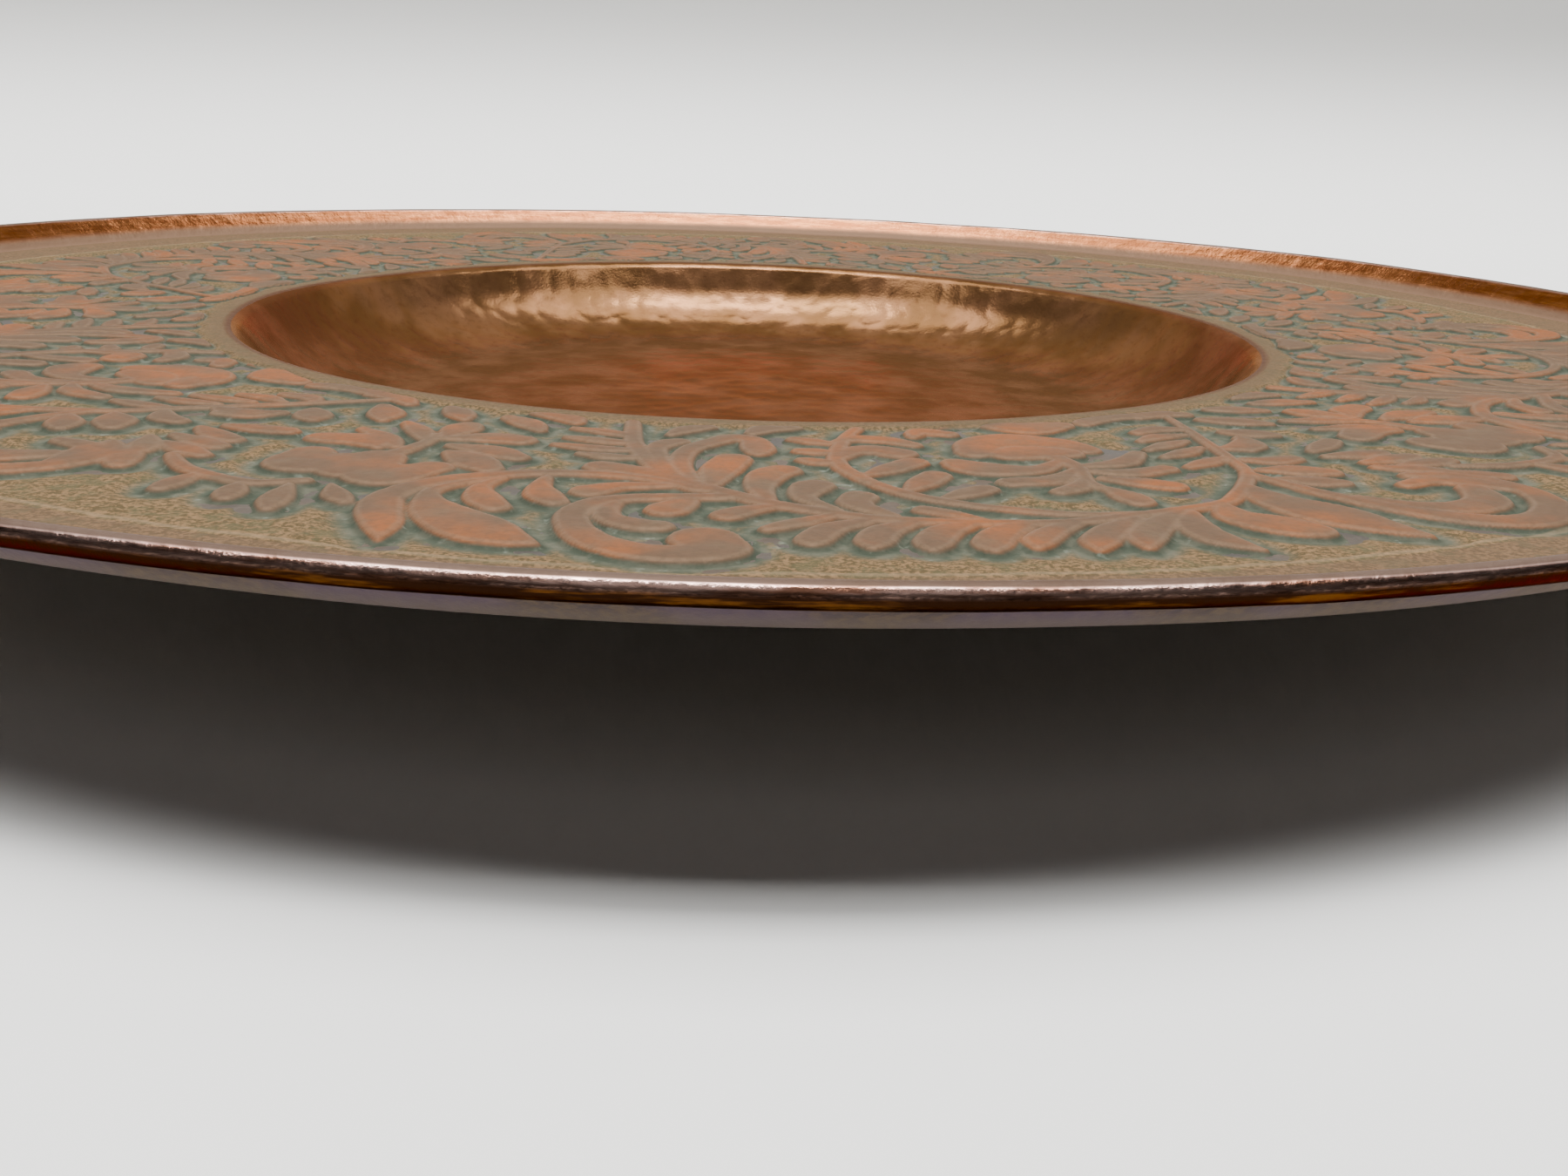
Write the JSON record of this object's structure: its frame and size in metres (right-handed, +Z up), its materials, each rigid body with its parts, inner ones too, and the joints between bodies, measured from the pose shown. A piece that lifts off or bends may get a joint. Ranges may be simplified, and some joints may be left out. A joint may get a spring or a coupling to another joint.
{
  "type": "round rimmed tray",
  "caption": "Large round copper tray with a sunken well, a wide rim of relief foliage and an edge rolled over a wire.",
  "frame": {"origin": "centre of the tray's flat underside, where it rests", "axes": "+Z up along the tray's axis; +X to the right and +Y away from the viewer"},
  "size_m": [0.65, 0.65, 0.0459],
  "materials": {
    "worn_copper": "hammered copper: polished well and rolled edge, taupe and verdigris patina on the relief rim",
    "wire_copper": "dull drawn copper wire, hidden in the rolled edge"
  },
  "bodies": {
    "root": {"tray_sheet": "worn_copper", "edge_wire": "wire_copper"}
  },
  "joints": []
}
